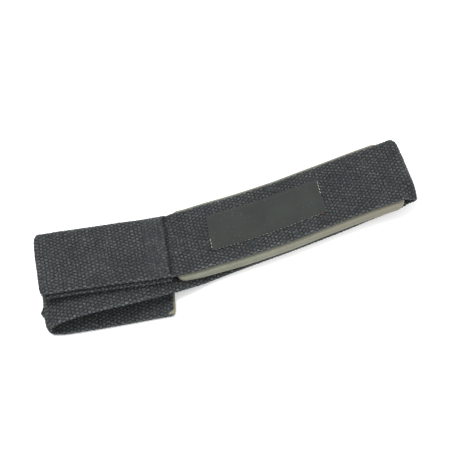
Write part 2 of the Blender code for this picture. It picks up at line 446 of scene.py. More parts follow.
def spacer(x):
    """Distance that the loop's layer, and then the pad, hold the top run up, its clearance included."""
    loop = sizes().webbing_thickness + sizes().loop_gap
    pad = sizes().pad_thickness + sizes().clearance
    rise = (x - sizes().loop_length) / (sizes().pad_gap + sizes().pad_taper)
    return loop + (pad - loop) * smooth_step(rise)


def seam_dent(x):
    """Sag of the top run where neither the loop nor the pad carries it."""
    middle = sizes().loop_length + sizes().pad_gap / 2
    return rest().seam_dent * math.exp(-((x - middle) / (sizes().pad_gap / 2)) ** 2)


def top_height(x):
    """Height of the top run's middle face."""
    return loop_height(x) + spacer(x)


def top_aside(x):
    return read_table(PLAN, x / sizes().folded_length, 1) * sizes().webbing_width


def tail_aside(x):
    return read_table(PLAN, x / sizes().folded_length, 2) * sizes().webbing_width


def tail_end_aside(x):
    return read_table(TAIL_END_PLAN, x / sizes().tail_end_length, 1) * sizes().webbing_width


def run_line(x, lanes, aside, height):
    """Cross line of a run's middle face: a point for each lane, in metres from the middle line."""
    slope = tilt(x) / sizes().webbing_width
    return [(x, aside + across, height - slope * across) for across in lanes]


def top_line(x, lanes):
    line = run_line(x, lanes, top_aside(x), top_height(x))
    lean = rest().loop_end_lean
    return [(x, y, z - seam_dent(x - lean * across)) for (x, y, z), across in zip(line, lanes)]


def loop_line(x, lanes):
    return run_line(x, lanes, top_aside(x) - rest().loop_lip, loop_height(x))


def tail_line(x, lanes):
    return run_line(x, lanes, tail_aside(x), tail_height(x))


def tail_end_line(x, lanes):
    aside = tail_end_aside(x)
    return [(x, aside + across, sizes().webbing_thickness / 2) for across in lanes]


def lanes_over(width):
    return [width * (lane / LANES - 0.5) for lane in range(LANES + 1)]


def run_lines(line_at, start, end, lanes, lean=0.0):
    """Cross lines of one run from start to end, where lean slants the last of them."""
    steps = max(2, round(abs(end - start) / ROUTE_PITCH))
    lines = []
    for step in range(steps + 1):
        share = step / steps
        line = line_at(start + (end - start) * share, lanes)
        lines.append([(x + lean * share * across, y, z) for (x, y, z), across in zip(line, lanes)])
    return lines


def fold_lines(before, after, outwards):
    """Cross lines of a half turn between the last line of one run and the first line of the next."""
    lines = []
    for step in range(1, FOLD_STEPS):
        angle = math.pi * step / FOLD_STEPS
        line = []
        for first, last in zip(before, after):
            first, last = Vector(first), Vector(last)
            half = (first - last) / 2
            bulge = Vector((outwards * half.length, 0, 0))
            line.append(tuple((first + last) / 2 + half * math.cos(angle) + bulge * math.sin(angle)))
        lines.append(line)
    return lines


class Band:
    """Middle face of a flat band, which can be read at any place along it and across it."""

    def __init__(self, lines, width):
        self.points = np.array(lines)
        self.width = width
        middle = self.points[:, LANES // 2]
        steps = np.linalg.norm(np.diff(middle, axis=0), axis=1)
        self.places = np.concatenate(([0.0], np.cumsum(steps)))
        self.length = self.places[-1]
        along = np.gradient(self.points, self.places, axis=0)
        across = np.gradient(self.points, axis=1)
        normals = np.cross(along, across)
        self.normals = normals / np.linalg.norm(normals, axis=2, keepdims=True)

    def read(self, values, along, across):
        """Values of the band's lines at these places, smooth along and straight between lanes."""
        lane = np.clip((across / self.width + 0.5) * LANES, 0, LANES)
        low = np.minimum(lane.astype(int), LANES - 1)
        share = lane - low
        found = np.zeros(along.shape + (3,))
        for number in range(LANES + 1):
            weight = np.where(low == number, 1 - share, np.where(low + 1 == number, share, 0.0))
            if not weight.any():
                continue
            for axis in range(3):
                found[..., axis] += weight * np.interp(along, self.places, values[:, number, axis])
        return found

    def point(self, along, across):
        return self.read(self.points, np.asarray(along, float), np.asarray(across, float))

    def normal(self, along, across):
        found = self.read(self.normals, np.asarray(along, float), np.asarray(across, float))
        return found / np.linalg.norm(found, axis=-1, keepdims=True)

    def seat(self, along, across, side, lift, turn):
        """Matrix of a small thing on the band: X along it when turn is nil, Z away from that side."""
        point, normal = self.point(along, across), self.normal(along, across) * side
        ahead = self.point(along + ROUTE_PITCH, across) - self.point(along - ROUTE_PITCH, across)
        normal, ahead = Vector(normal), Vector(ahead)
        ahead = (ahead - normal * ahead.dot(normal)).normalized()
        matrix = Matrix((ahead, normal.cross(ahead), normal)).transposed().to_4x4()
        matrix.translation = Vector(point) + normal * lift
        return matrix @ Matrix.Rotation(turn, 4, "Z")


class Route:
    """The whole band of webbing, with the place where each of its runs starts."""

    def __init__(self):
        size = sizes()
        half = size.webbing_thickness / 2
        lanes = lanes_over(size.webbing_width)
        loop_left = half + (top_height(0) - loop_height(0)) / 2
        end = size.folded_length
        right = end - half - (top_height(end) - tail_height(end)) / 2
        tail_left = half + (tail_height(0) - half) / 2

        loop = run_lines(loop_line, loop_left, size.loop_length, lanes, rest().loop_end_lean)[::-1]
        top = run_lines(top_line, loop_left, right, lanes)
        tail = run_lines(tail_line, right, tail_left, lanes)
        tail_end = run_lines(tail_end_line, tail_left, size.tail_end_length, lanes, rest().tail_end_lean)
        parts = {
            "loop": loop,
            "loop_fold": fold_lines(loop[-1], top[0], -1),
            "top": top,
            "right_fold": fold_lines(top[-1], tail[0], 1),
            "tail": tail,
            "tail_fold": fold_lines(tail[-1], tail_end[0], -1),
            "tail_end": tail_end,
        }
        self.first, lines = {}, []
        for name, part in parts.items():
            self.first[name] = (len(lines), len(lines) + len(part) - 1)
            lines += part
        self.shift = self.onto_frame(Band(lines, size.webbing_width), half)
        self.band = Band(np.array(lines) + self.shift, size.webbing_width)

    @staticmethod
    def onto_frame(band, half):
        """How far the laid out band has to move to lie where the frame's webbing lies."""
        faces = np.concatenate((band.points + band.normals * half, band.points - band.normals * half))
        low, high = faces.min(axis=(0, 1)), faces.max(axis=(0, 1))
        frame_low, frame_high = (np.array(corner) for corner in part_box("webbing"))
        shift = (frame_low + frame_high - low - high) / 2
        shift[2] = frame_low[2] - low[2]
        return shift

    def span(self, run):
        """Places where a run starts and ends."""
        first, last = self.first[run]
        return self.band.places[first], self.band.places[last]

    def place(self, run, x):
        """Place along the band where the middle of a run is at x, counted from the left fold."""
        first, last = self.first[run]
        found = self.band.points[first:last + 1, LANES // 2, 0] - self.shift[0]
        places = self.band.places[first:last + 1]
        order = np.argsort(found)
        return float(np.interp(x, found[order], places[order]))


# Meshes

def closed_shell(name, points, picture, material):
    """Closed piece from a grid of points, one row round the piece for each place along it.

    The last point of a row is its first one again, and the first and last rows are pressed flat, so that
    merging doubles closes the seam and both ends.
    """
    columns, rows = points.shape[0] - 1, points.shape[1] - 1
    shape = bmesh.new()
    bmesh.ops.create_grid(shape, x_segments=columns, y_segments=rows, size=0.5)
    mesh = bpy.data.meshes.new(name)
    shape.to_mesh(mesh)
    flat = np.empty(len(mesh.vertices) * 3)
    mesh.vertices.foreach_get("co", flat)
    flat = flat.reshape(-1, 3)
    column = np.rint((flat[:, 0] + 0.5) * columns).astype(int)
    row = np.rint((flat[:, 1] + 0.5) * rows).astype(int)
    mesh.vertices.foreach_set("co", points[column, row].ravel())
    corners = np.empty(len(mesh.loops), int)
    mesh.loops.foreach_get("vertex_index", corners)
    layer = mesh.uv_layers.new(name="cloth")
    layer.data.foreach_set("uv", picture[column, row][corners].ravel())
    shape.clear()
    shape.from_mesh(mesh)
    bmesh.ops.remove_doubles(shape, verts=shape.verts, dist=1e-6)
    bmesh.ops.recalc_face_normals(shape, faces=shape.faces)
    shape.to_mesh(mesh)
    shape.free()
    mesh.shade_smooth()
    mesh.materials.append(material)
    return link(bpy.data.objects.new(name, mesh))


def link(piece):
    name = "strap_looks"
    collection = bpy.data.collections.get(name)
    if collection is None:
        collection = bpy.data.collections.new(name)
        bpy.context.scene.collection.children.link(collection)
    collection.objects.link(piece)
    return piece


def copies(name, masters, places, material):
    """One object from copies of small masters, each put in place by a matrix."""
    shape = bmesh.new()
    for number, matrix in places:
        copy = masters[number].copy()
        copy.transform(matrix)
        shape.from_mesh(copy)
        bpy.data.meshes.remove(copy)
    mesh = bpy.data.meshes.new(name)
    shape.to_mesh(mesh)
    shape.free()
    mesh.shade_smooth()
    mesh.materials.append(material)
    return link(bpy.data.objects.new(name, mesh))


def section(half_width, half_thickness, edge, squareness, face_steps, edge_steps):
    """Closed section of a flat piece: across, height, and how much of each point belongs to the edge.

    It runs over the upper face, round one edge, back under the lower face and round the other edge. The
    edge is round where squareness is 2, and squarer where it is more.
    """
    face = np.linspace(-1, 1, face_steps + 1)[:-1] * (half_width - edge)
    turn = np.linspace(math.pi / 2, -math.pi / 2, edge_steps + 1)[:-1]
    out = np.abs(np.cos(turn)) ** (2 / squareness)
    up = np.sign(np.sin(turn)) * np.abs(np.sin(turn)) ** (2 / squareness)
    across = np.concatenate((face, half_width - edge + edge * out, -face, edge - half_width - edge * out))
    height = np.concatenate((np.ones_like(face), up, -np.ones_like(face), -up)) * half_thickness
    rim = np.concatenate((np.zeros_like(face), np.cos(turn), np.zeros_like(face), np.cos(turn)))
    return across, height, rim


def soft_noise(along, around, cell, period, seed):
    """Smooth noise from -1 to 1 over the weave, which closes after period cells round the piece."""
    rng = np.random.default_rng(seed)
    columns = int(along.max() / cell) + 3
    table = rng.uniform(-1, 1, (columns, period))
    u, v = along / cell, around / around.max() * period
    low_u, low_v = np.floor(u).astype(int), np.floor(v).astype(int)
    share_u, share_v = smooth_step(u - low_u), smooth_step(v - low_v)
    near, far = low_v % period, (low_v + 1) % period
    left = table[low_u, near] * (1 - share_v) + table[low_u, far] * share_v
    right = table[low_u + 1, near] * (1 - share_v) + table[low_u + 1, far] * share_v
    return left * (1 - share_u) + right * share_u


# Shader groups

class Graph:
    """Short ways to add shader nodes and join them."""

    def __init__(self, tree):
        self.tree = tree

    def join(self, source, target):
        if isinstance(source, bpy.types.NodeSocket):
            self.tree.links.new(source, target)
        else:
            target.default_value = source

    def node(self, kind, inputs=None, **settings):
        node = self.tree.nodes.new(kind)
        for name, value in settings.items():
            setattr(node, name, value)
        for name, source in (inputs or {}).items():
            self.join(source, node.inputs[name])
        return node

    def math(self, operation, *values):
        node = self.node("ShaderNodeMath", operation=operation)
        for number, value in enumerate(values):
            self.join(value, node.inputs[number])
        return node.outputs[0]

    def times(self, first, *others):
        """Product of all the values."""
        for value in others:
            first = self.math("MULTIPLY", first, value)
        return first

    def scaled(self, value, factor, added=0.0):
        """A value times a factor, with another added."""
        return self.math("MULTIPLY_ADD", value, factor, added)

    def apart(self, first, second):
        """Distance between two values."""
        return self.math("ABSOLUTE", self.math("SUBTRACT", first, second))

    def mix(self, share, low, high):
        node = self.node("ShaderNodeMix", data_type="RGBA", clamp_factor=True)
        self.join(share, node.inputs[0])
        self.join(low, node.inputs[6])
        self.join(high, node.inputs[7])
        return node.outputs[2]

    def shaded(self, tone, shade):
        """A colour made darker or lighter by a value."""
        node = self.node("ShaderNodeVectorMath", {"Vector": tone, "Scale": shade}, operation="SCALE")
        return node.outputs["Vector"]

    def ramp(self, value, low, high, to_low=0.0, to_high=1.0):
        """A value from low to high, smoothly stretched to reach from to_low to to_high."""
        node = self.node("ShaderNodeMapRange", {"Value": value}, interpolation_type="SMOOTHSTEP")
        ends = {"From Min": low, "From Max": high, "To Min": to_low, "To Max": to_high}
        for name, number in ends.items():
            self.join(number, node.inputs[name])
        return node.outputs["Result"]

    def parts(self, vector):
        return self.node("ShaderNodeSeparateXYZ", {"Vector": vector}).outputs

    def vector(self, **parts):
        return self.node("ShaderNodeCombineXYZ", parts).outputs["Vector"]

    def noise(self, vector, scale, detail=2.0, roughness=0.5):
        inputs = {"Vector": vector, "Scale": scale, "Detail": detail, "Roughness": roughness}
        return self.node("ShaderNodeTexNoise", inputs).outputs["Fac"]

    def picture(self):
        """The piece's own picture coordinates."""
        return self.node("ShaderNodeUVMap", uv_map="cloth").outputs["UV"]

    def place(self):
        """Place on the object."""
        return self.node("ShaderNodeTexCoord").outputs["Object"]

    def bump(self, height, distance, strength):
        inputs = {"Height": height, "Distance": distance, "Strength": strength}
        return self.node("ShaderNodeBump", inputs).outputs["Normal"]

    def group(self, tree, **inputs):
        node = self.node("ShaderNodeGroup", node_tree=tree)
        for name, source in inputs.items():
            self.join(source, node.inputs[name.replace("_", " ")])
        return node.outputs


def new_group(name, inputs, outputs):
    """Empty shader group with named sockets, and its input and output nodes."""
    tree = bpy.data.node_groups.new(name, "ShaderNodeTree")
    for socket, kind, default in inputs:
        made = tree.interface.new_socket(name=socket, in_out="INPUT", socket_type=kind)
        if default is not None:
            made.default_value = default
    for socket, kind in outputs:
        tree.interface.new_socket(name=socket, in_out="OUTPUT", socket_type=kind)
    graph = Graph(tree)
    return tree, graph, tree.nodes.new("NodeGroupInput").outputs, tree.nodes.new("NodeGroupOutput").inputs


def kept(build):
    """Builds a shader group once, and gives the same one afterwards."""
    def find():
        name = build.__name__
        return bpy.data.node_groups.get(name) or build(name)
    return find


@kept
def plain_weave(name):
    """Warp floats of a plain weave, from a vector counted in picks along and yarns across.

    Each float swells over one pick and, with its neighbours dipped under, over two yarns' width. Those of
    the next pick are set half a float aside.
    """
    tree, graph, given, wanted = new_group(
        name,
        [("Weave", "NodeSocketVector", None), ("Fibre Scale", "NodeSocketFloat", 1.6)],
        [("Crown", "NodeSocketFloat"), ("Tint", "NodeSocketFloat"), ("Hue", "NodeSocketColor"),
         ("Fibre", "NodeSocketFloat")])
    parts = graph.parts(given["Weave"])
    pick = graph.math("ROUND", parts["X"])
    aside = graph.times(graph.math("FLOORED_MODULO", pick, 2.0), 0.5)
    across = graph.math("SUBTRACT", graph.math("DIVIDE", parts["Y"], float(FLOAT_YARNS)), aside)
    number = graph.math("ROUND", across)

    domes = []
    for spot, middle, squareness, low in zip(
            (parts["X"], across), (pick, number), FLOAT_SQUARENESS, FLOAT_END_HEIGHT):
        reach = graph.times(graph.apart(spot, middle), 2.0)
        swell = graph.math("SUBTRACT", 1.0, graph.math("POWER", reach, squareness))
        domes.append(graph.scaled(swell, 1.0 - low, low))
    graph.join(graph.times(*domes), wanted["Crown"])

    chance = graph.node("ShaderNodeTexWhiteNoise", {"Vector": graph.vector(X=pick, Y=number)},
                        noise_dimensions="3D")
    graph.join(chance.outputs["Value"], wanted["Tint"])
    graph.join(chance.outputs["Color"], wanted["Hue"])
    fine = graph.vector(
        X=graph.times(parts["X"], FIBRES_PER_PICK), Y=graph.times(parts["Y"], given["Fibre Scale"]),
        Z=graph.times(number, FIBRE_SHIFT))
    graph.join(graph.noise(fine, 1.0, 3.0, 0.7), wanted["Fibre"])
    return tree


@kept
def thread_twist(name):
    """Slanting plies of a twisted thread, from a vector along it and round it."""
    tree, graph, given, wanted = new_group(
        name,
        [("Thread", "NodeSocketVector", None), ("Plies", "NodeSocketFloat", 6.0)],
        [("Ply", "NodeSocketFloat")])
    parts = graph.parts(given["Thread"])
    turn = graph.scaled(parts["Y"], 2.0, graph.times(parts["X"], given["Plies"]))
    wave = graph.math("SINE", graph.times(turn, math.pi))
    graph.join(graph.math("ABSOLUTE", wave), wanted["Ply"])
    return tree


@kept
def lint_flecks(name):
    """Small pale flecks and a slow change of shade, as cotton has from handling and dust."""
    tree, graph, given, wanted = new_group(
        name,
        [("Vector", "NodeSocketVector", None), ("Fleck Scale", "NodeSocketFloat", 900.0),
         ("Amount", "NodeSocketFloat", 0.2)],
        [("Fleck", "NodeSocketFloat"), ("Shade", "NodeSocketFloat")])
    warp = graph.noise(given["Vector"], 700.0, 1.0)
    drift = graph.vector(X=graph.times(warp, FLECK_DRIFT[0]), Y=graph.times(warp, FLECK_DRIFT[1]))
    bent = graph.node("ShaderNodeVectorMath", {0: given["Vector"], 1: drift}, operation="ADD")
    spots = graph.node(
        "ShaderNodeTexVoronoi", {"Vector": bent.outputs["Vector"], "Scale": given["Fleck Scale"]},
        feature="F1").outputs
    chosen = graph.math("LESS_THAN", graph.parts(spots["Color"])["X"], given["Amount"])
    graph.join(graph.times(chosen, graph.ramp(spots["Distance"], 0.40, 0.08)), wanted["Fleck"])
    graph.join(graph.noise(given["Vector"], 70.0, 3.0, 0.6), wanted["Shade"])
    return tree


def new_material(name, roughness, sheen=0.0, sheen_roughness=0.5, specular=0.1):
    """Principled material with the values that are the same all over set on the shader itself."""
    material = bpy.data.materials.new(name)
    material.use_nodes = True
    shader = material.node_tree.nodes["Principled BSDF"]
    shader.inputs["Roughness"].default_value = roughness
    shader.inputs["Sheen Weight"].default_value = sheen
    shader.inputs["Sheen Roughness"].default_value = sheen_roughness
    shader.inputs["Specular IOR Level"].default_value = specular
    return material, Graph(material.node_tree), shader.inputs


def four(values, shade=1.0):
    """A colour, made darker or lighter, with its alpha."""
    return (*(shade * value for value in values), 1.0)


def sewn_masks(graph, parts, fibre, sewn_from, sewn_to, lean):
    """Where the loop's sewing flattens the webbing, and a line of painted shade at the step past the loop's
    end.

    Both lean with the loop's end, and are given in picks along the band.
    """
    upper = graph.math("LESS_THAN", parts["Y"], FACE_YARNS)
    leaned = graph.scaled(parts["Y"], -lean, graph.math("ADD", parts["X"], lean * FACE_YARNS / 2))
    flat = graph.times(graph.ramp(leaned, sewn_from - 0.8, sewn_from + 0.4),
                       graph.ramp(leaned, sewn_to + 1.5, sewn_to + 0.5), upper)
    # Painted shade along the step where the top run dips past the loop's sewn end
    step = graph.apart(graph.scaled(fibre, 0.9, leaned), sewn_to + 2.3)
    return flat, graph.times(graph.ramp(step, 0.7, 0.1), upper)


def sealed_mask(graph, parts, spot, last_pick):
    """Where the cut end is sealed: a ragged strip along it, and a patch at its corner, in picks and yarns."""
    ragged = graph.scaled(graph.noise(spot, 900.0), 0.5, parts["X"])
    strip = graph.times(graph.ramp(ragged, last_pick - 0.45, last_pick - 0.15),
                        graph.ramp(parts["X"], last_pick - 0.02, last_pick - 0.12), 0.55)
    from_edge = graph.times(graph.math("ABSOLUTE", parts["Y"]), 0.75)
    corner = graph.math("SUBTRACT", ragged, from_edge)
    patch = graph.times(graph.ramp(corner, last_pick - 2.3, last_pick - 1.5), 0.8)
    return graph.math("MAXIMUM", strip, patch)


def webbing_material(last_pick, sewn_from, sewn_to, lean):
    """Charcoal cotton with painted shade in its gaps, floats that differ in shade, dust, selvages lightened
    by wear and a painted highlight, the seam with painted shade at its step, and the cut end.
    """
    material, graph, shader = new_material("charcoal_cotton_webbing", 0.9, 0.06, 0.6)
    picture, spot = graph.picture(), graph.place()
    parts = graph.parts(picture)
    cloth = graph.group(plain_weave(), Weave=picture)
    dust = graph.group(lint_flecks(), Vector=spot, Fleck_Scale=1300.0, Amount=0.10)
    flat, step = sewn_masks(graph, parts, cloth["Fibre"], sewn_from, sewn_to, lean)

    crown = graph.math("POWER", graph.math("MAXIMUM", cloth["Crown"], 0.0),
                       graph.scaled(cloth["Tint"], 0.9, 0.6))
    # Where the sewing flattens the weave, the painted shade of its gaps is lessened
    crown = graph.scaled(crown, graph.scaled(flat, -0.36, 1.0), graph.times(flat, 0.34))
    # Lighter towards the selvages: fuzz and wear, with a painted highlight on the edges
    from_edge = graph.apart(graph.math("FLOORED_MODULO", parts["Y"], FACE_YARNS + SELVAGE_YARNS),
                            FACE_YARNS + SELVAGE_YARNS / 2)
    shade = graph.times(
        graph.scaled(cloth["Tint"], 0.60, 0.70),
        graph.ramp(dust["Shade"], 0.25, 0.75, to_low=0.84, to_high=1.18),
        graph.ramp(cloth["Fibre"], 0.30, 0.70, to_low=0.30, to_high=1.75),
        # Painted highlight and wear on the selvages
        graph.ramp(from_edge, SELVAGE_YARNS * 0.8, SELVAGE_YARNS * 0.3, to_low=1.0, to_high=1.75),
        # Painted shade at that step
        graph.scaled(step, -0.68, 1.0))
    # The gaps between the crowns take a painted shade; the crowns keep the yarn's own colour
    yarn = graph.mix(crown, four(colours().yarn_dark), four(colours().yarn_light))
    hue = graph.mix(0.09, (1.0, 1.0, 1.0, 1.0), cloth["Hue"])
    yarn = graph.node("ShaderNodeVectorMath", {0: graph.shaded(yarn, shade), 1: hue},
                      operation="MULTIPLY").outputs["Vector"]
    yarn = graph.mix(graph.times(dust["Fleck"], 0.6), yarn, four(colours().lint))
    yarn = graph.mix(sealed_mask(graph, parts, spot, last_pick), yarn, four(colours().cut_end))
    graph.join(yarn, shader["Base Color"])
    graph.join(graph.ramp(crown, 0.0, 1.0, to_low=0.98, to_high=0.84), shader["Roughness"])
    height = graph.scaled(cloth["Fibre"], 0.5, graph.times(cloth["Crown"], 0.5))
    graph.join(graph.bump(height, 0.0003, 0.8), shader["Normal"])
    return material


def pad_material():
    material, graph, shader = new_material("grey_pad_foam", 0.85, 0.1)
    spot = graph.place()
    dust = graph.group(lint_flecks(), Vector=spot, Fleck_Scale=1100.0, Amount=0.08)
    grain = graph.noise(spot, 1300.0, 2.0, 0.7)
    foam = graph.mix(graph.ramp(grain, 0.3, 0.7), four(colours().pad, 0.72), four(colours().pad))
    foam = graph.shaded(foam, graph.ramp(dust["Shade"], 0.2, 0.8, to_low=0.86, to_high=1.1))
    # The foam is darker towards the right fold
    towards_right = graph.ramp(graph.parts(spot)["X"], 0.0, sizes().folded_length / 2)
    foam = graph.mix(towards_right, foam, four(colours().pad_worn))
    foam = graph.mix(graph.times(dust["Fleck"], 0.25), foam, four(colours().pad, 1.4))
    graph.join(foam, shader["Base Color"])
    graph.join(graph.ramp(grain, 0.2, 0.8, to_low=0.80, to_high=0.92), shader["Roughness"])
    graph.join(graph.bump(grain, 0.0002, 0.5), shader["Normal"])
    return material


def label_material():
    material, graph, shader = new_material("smooth_label_cloth", 0.6, 0.1)
    cloth = graph.group(plain_weave(), Weave=graph.picture(), Fibre_Scale=2.0)
    dust = graph.group(lint_flecks(), Vector=graph.place(), Fleck_Scale=1300.0, Amount=0.05)
    # The gaps between the label's yarns take a painted shade
    tone = graph.mix(graph.ramp(cloth["Crown"], 0.0, 0.9), four(colours().label, 0.60), four(colours().label))
    tone = graph.shaded(tone, graph.ramp(dust["Shade"], 0.2, 0.8, to_low=0.86, to_high=1.14))
    tone = graph.mix(graph.times(dust["Fleck"], 0.4), tone, four(colours().lint))
    graph.join(tone, shader["Base Color"])
    graph.join(graph.ramp(cloth["Crown"], 0.0, 1.0, to_low=0.68, to_high=0.52), shader["Roughness"])
    graph.join(graph.bump(cloth["Crown"], 0.00008, 0.6), shader["Normal"])
    return material


def thread_material(name, thread_colour):
    material, graph, shader = new_material(name, 0.6, 0.1)
    ply = graph.group(thread_twist(), Thread=graph.picture())["Ply"]
    # The grooves between the plies take a painted shade
    graph.join(graph.mix(ply, four(thread_colour, 0.45), four(thread_colour)), shader["Base Color"])
    graph.join(graph.ramp(ply, 0.0, 1.0, to_low=0.75, to_high=0.5), shader["Roughness"])
    graph.join(graph.bump(ply, 0.0001, 0.7), shader["Normal"])
    return material


def fibre_material():
    material, graph, shader = new_material("loose_cotton_fibre", 0.9, 0.2)
    share = graph.ramp(graph.noise(graph.place(), 260.0, 1.0), 0.35, 0.65)
    graph.join(graph.mix(share, four(colours().lint, 0.30), four(colours().lint)), shader["Base Color"])
    graph.join(graph.ramp(share, 0.0, 1.0, to_low=0.95, to_high=0.85), shader["Roughness"])
    return material


def floor_material():
    material, graph, shader = new_material("pale_table", 0.9)
    share = graph.ramp(graph.noise(graph.place(), 3.0), 0.3, 0.7)
    graph.join(graph.mix(share, four(colours().floor, 0.985), four(colours().floor)), shader["Base Color"])
    return material


# Pieces

def webbing_places(route):
    """Places of the webbing's rows, and the spacing of its picks."""
    count = ROWS_PER_PICK * round(route.band.length / weave().pick)
    step = route.band.length / count
    return np.arange(count + 1) * step, step * ROWS_PER_PICK


def float_height(picks, yarns):
    """Height of the warp floats over the gaps, from 0 to 1, and how far each swells over its pick."""
    across = yarns / FLOAT_YARNS - 0.5 * (np.rint(picks) % 2)
    swells = [1 - np.abs(2 * (spot - np.rint(spot))) ** squareness
              for spot, squareness in zip((picks, across), FLOAT_SQUARENESS)]
    height = np.ones_like(picks)
    for swell, low in zip(swells, FLOAT_END_HEIGHT):
        height *= low + (1 - low) * swell
    return height, swells[0]


def fold_push(route, along, across):
    """How far the folds' points move along X: their corners draw in, and the tail fold bulges a little."""
    held, half = rest(), sizes().webbing_width / 2
    push = np.zeros(along.shape)
    corner = np.abs(across / half) ** FOLD_CORNER_SHARPNESS
    for name, outwards in (("loop_fold", -1), ("right_fold", 1), ("tail_fold", -1)):
        start, end = route.span(name)
        middle, reach = (start + end) / 2, FOLD_CORNER_REACH * (end - start) / 2
        push -= outwards * held.fold_corner * corner * np.clip(1 - ((along - middle) / reach) ** 2, 0, 1)
    start, end = route.span("tail_fold")
    middle = (start + end) / 2
    from_bulge = ((along - middle) ** 2 + (across - held.bulge_aside) ** 2) / held.bulge_width ** 2
    push -= held.bulge_height * np.exp(-from_bulge)
    bend = np.clip(1 - ((along - middle) / (end - start)) ** 2, 0, 1)
    return push + held.tail_fold_slant * bend * np.clip(-across / half, 0, 1)


def pinch_drop(route, points, across):
    """How far the right fold's near corner sinks: its layers draw together beyond the end of the pad."""
    held = rest()
    x, z = points[..., 0] - route.shift[0], points[..., 2] - route.shift[2]
    share = (smooth_step((x - held.pinch_start) / held.pinch_reach)
             * smooth_step((-across - held.pinch_aside) / held.pinch_width))
    end = sizes().folded_length
    still = tail_height(end) - tilt(end) / sizes().webbing_width * across + held.pinch_height
    return held.pinch_share * share * (still - z)


def seam_rows(route):
    """Places of the rows of sewing that close the loop, on the top run."""
    cloth = weave()
    first = sizes().loop_length - cloth.seam_length
    return [route.place("top", first + cloth.seam_pitch * number) for number in range(cloth.seam_rows)]


def sewn_share(along, rows):
    """How much the sewing flattens the weave, which it does from its first row to past its last."""
    first, last = rows[0] - SEWN_FADE, rows[-1] + SEWN_PAST
    return np.clip((along - first) / SEWN_FADE, 0, 1) * np.clip((last - along) / (2 * SEWN_FADE), 0, 1)


def webbing_points(route):
    """Points of the woven webbing, its middle points, and its picture in picks along and yarns round."""
    size, held, cloth = sizes(), rest(), weave()
    half = size.webbing_thickness / 2
    across, height, rim = section(size.webbing_width / 2, half, half, ROUND, *WEBBING_STEPS)
    places, pick = webbing_places(route)
    face = np.arange(WEBBING_STEPS[0]) / 2
    edge = np.arange(WEBBING_STEPS[1]) * SELVAGE_YARNS / WEBBING_STEPS[1]
    side = FACE_YARNS + SELVAGE_YARNS
    around = np.concatenate((face, FACE_YARNS + edge, side + face, side + FACE_YARNS + edge))
    floats = round(2 * side / FLOAT_YARNS)

    along, ring = np.meshgrid(places, around, indexing="ij")
    across = np.broadcast_to(across, along.shape)
    crown, swell = float_height(along / pick, ring)
    from_end = np.minimum(along, route.band.length - along)
    free = np.clip(from_end / pick, 0, 1)

    def uneven(span, period, draw):
        return soft_noise(along, ring, span, period, cloth.seed + draw)

    stray = cloth.waviness * uneven(*WAVY_PICKS, 1)
    stray += cloth.float_stray * pick * uneven(pick / 2, floats * 2, 5)
    stray_across = cloth.yarn_waviness * uneven(*WAVY_YARNS, 2)
    stray_across += cloth.yarn_stray * uneven(pick / 2, floats * 2, 6)
    depth = cloth.relief * (1 + cloth.uneven_relief * uneven(pick, floats, 3))
    sag = cloth.sag * (1 + uneven(*WAVY_FACE, 4))
    sag += cloth.fuzz * np.random.default_rng(cloth.seed).normal(size=along.shape)
    sunk = cloth.sunk_crown * (1 + uneven(pick * 0.9, floats, 7))

    rows = np.array(seam_rows(route))
    leaned = along - held.loop_end_lean * across
    groove = np.exp(-((leaned[..., None] - rows) / cloth.groove_width) ** 2).sum(axis=-1)
    depth = np.where(height > 0, depth * (1 - SEWN_FLATNESS * sewn_share(along, rows)), depth)
    sag += np.where(height > 0, cloth.seam_groove * groove, 0.0)

    end_turn = np.sqrt(1 - (1 - np.clip(from_end / cloth.end_rounding, 0, 1)) ** 2)
    inward = (depth * (1 - crown) + sunk * crown) * (1 - rim) + sag
    lift = height * (END_FULLNESS + (1 - END_FULLNESS) * end_turn) - np.sign(height) * inward * free
    lift = np.where(np.abs(height) < MIDDLE_HEIGHT, 0.0, lift)
    spread = across + np.sign(across) * cloth.serration * (swell - 1) * rim * free
    spread += stray_across * free * (1 - rim)
    corner = held.cut_corner * np.abs(spread / (size.webbing_width / 2)) ** CUT_CORNER_SHARPNESS
    shorter = np.clip(1 - (route.band.length - along) / held.cut_corner_reach, 0, 1) * corner
    moved = along + stray * free - shorter
    middle = route.band.point(along - shorter, across)
    points = route.band.point(moved, spread) + route.band.normal(moved, spread) * lift[..., None]
    points[..., 0] += fold_push(route, along, across)
    points[..., 2] += pinch_drop(route, points, across)
    picture = np.stack((along / pick, ring), axis=-1)
    seam = np.stack((places / pick, np.full(len(places), 2 * side)), axis=-1)[:, None]
    return tuple(np.concatenate(pair, axis=1)
                 for pair in ((points, points[:, :1]), (middle, middle[:, :1]), (picture, seam)))


def make_webbing():
    """The band as two meshes that meet under the pad, each pressed flat at its ends to close it."""
    size, route = sizes(), Route()
    points, middle, picture = webbing_points(route)
    places, pick = webbing_places(route)
    sewn = [place / pick for place in seam_rows(route)]
    yarn = (size.webbing_width - size.webbing_thickness) / FACE_YARNS
    material = webbing_material(places[-1] / pick, sewn[0], sewn[-1], rest().loop_end_lean * yarn / pick)
    joint = int(np.argmin(np.abs(places - route.place("tail", size.joint))))
    joint = (joint // ROWS_PER_PICK) * ROWS_PER_PICK + ROWS_PER_PICK // 2
    for name, first, last in (("woven_webbing", 0, joint + ROWS_PER_PICK),
                              ("woven_webbing_tail", joint, len(places) - 1)):
        whole = np.concatenate((middle[first:first + 1], points[first:last + 1], middle[last:last + 1]))
        drawn = np.concatenate((picture[first:first + 1], picture[first:last + 1], picture[last:last + 1]))
        webbing = closed_shell(name, whole, drawn, material)
        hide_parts("webbing")
        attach(webbing, "root")


def pad_half_width(distance):
    """Half of the pad's width at a distance from the nearer of its ends, whose corners are round."""
    corner = sizes().pad_corner
    short = corner - min(distance, corner)
    return sizes().pad_width / 2 - corner + math.sqrt(corner ** 2 - short ** 2)


